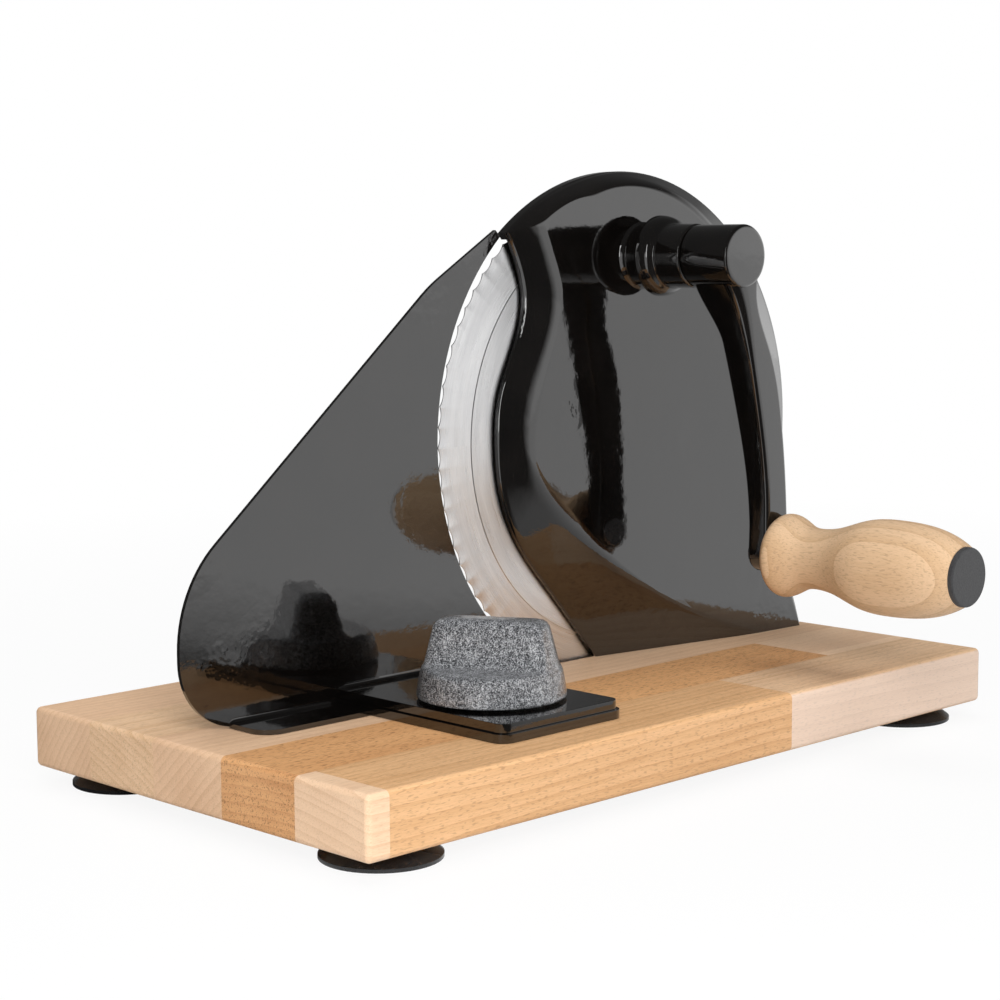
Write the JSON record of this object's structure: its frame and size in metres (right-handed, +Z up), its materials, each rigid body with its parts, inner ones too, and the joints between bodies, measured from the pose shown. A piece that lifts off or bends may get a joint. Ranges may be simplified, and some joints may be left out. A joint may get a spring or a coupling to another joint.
{
  "type": "bread slicer with crank",
  "caption": "Hand cranked bread slicer: a toothed disc blade geared to a crank with a wooden handle, a sliding fence with a clamp knob, on a beech board with suction feet.",
  "frame": {"origin": "on the surface that the feet stand on, under the middle of the whole tool's plan", "axes": "+X along the board's long side, from the fence to the housing; +Y towards the side where the loaf stands; +Z up"},
  "size_m": [0.32, 0.2216, 0.2126],
  "materials": {
    "beech_pale": "light oiled beech, pale",
    "beech_brown": "light oiled beech, brown",
    "beech_cream": "light oiled beech, cream",
    "beech_golden": "light oiled beech, golden with dark flecks",
    "beech_rose": "light oiled beech, faintly rose",
    "foot_rubber": "glossy black rubber",
    "zinc_screws": "zinc plated",
    "black_enamel": "glossy black enamel on a casting",
    "bronze": "sintered bronze",
    "turned_steel": "turned steel",
    "gear_steel": "hobbed steel, oiled",
    "brass": "turned brass",
    "blade_steel": "stainless steel, circular grinding marks",
    "handle_beech": "turned beech, oiled",
    "cap_plastic": "dark grey, matte",
    "hammered_finish": "speckled grey and black hammered paint"
  },
  "bodies": {
    "root": {"stave_1_end": "beech_pale", "stave_1_main": "beech_brown", "stave_1_right": "beech_cream", "stave_2_left": "beech_golden", "stave_2_right": "beech_pale", "stave_3": "beech_rose", "stave_4": "beech_cream", "stave_5": "beech_rose", "suction_feet": "foot_rubber", "foot_screws": "zinc_screws", "housing": "black_enamel", "housing_screws": "zinc_screws", "crank_bush": "bronze", "blade_axle": "turned_steel", "blade_washer": "turned_steel", "blade_screw": "turned_steel", "clamp_insert": "brass"},
    "crank": {"crank_arm": "black_enamel", "crank_shaft": "turned_steel", "pinion": "gear_steel", "shaft_key": "gear_steel", "grub_screw": "turned_steel", "handle_pin": "turned_steel", "pin_nut": "zinc_screws", "handle_washer": "turned_steel"},
    "blade": {"blade": "blade_steel", "blade_gear": "gear_steel", "hub_bush": "bronze", "gear_screws": "turned_steel"},
    "handle": {"handle_grip": "handle_beech", "handle_cap": "cap_plastic"},
    "fence": {"fence_plate": "black_enamel", "fence_foot": "black_enamel", "foot_glide": "black_enamel", "fence_rivets": "turned_steel"},
    "knob": {"clamp_knob": "hammered_finish", "clamp_stud": "turned_steel", "clamp_washer": "turned_steel"}
  },
  "joints": [
    {"name": "crank_turn", "type": "hinge", "parent": "root", "child": "crank", "pos_m": [0.0577, 0.0233, 0.1806], "axis": [0, 1, 0], "continuous": true},
    {"name": "blade_turn", "type": "hinge", "parent": "root", "child": "blade", "pos_m": [0.0577, 0.0233, 0.1131], "axis": [0, 1, 0], "continuous": true},
    {"name": "handle_turn", "type": "hinge", "parent": "crank", "child": "handle", "pos_m": [0.079, 0.0233, 0.069], "axis": [0, 1, 0], "continuous": true},
    {"name": "fence_slide", "type": "slide", "parent": "root", "child": "fence", "axis": [0, -1, 0], "range_m": [0, 0.018]},
    {"name": "knob_turn", "type": "hinge", "parent": "root", "child": "knob", "pos_m": [-0.0595, -0.0137, 0.027], "axis": [0, 0, 1], "range_deg": [0, 180]}
  ],
  "couplings": [
    {"joint": "blade_turn", "follows": "crank_turn", "ratio": -0.36364}
  ]
}
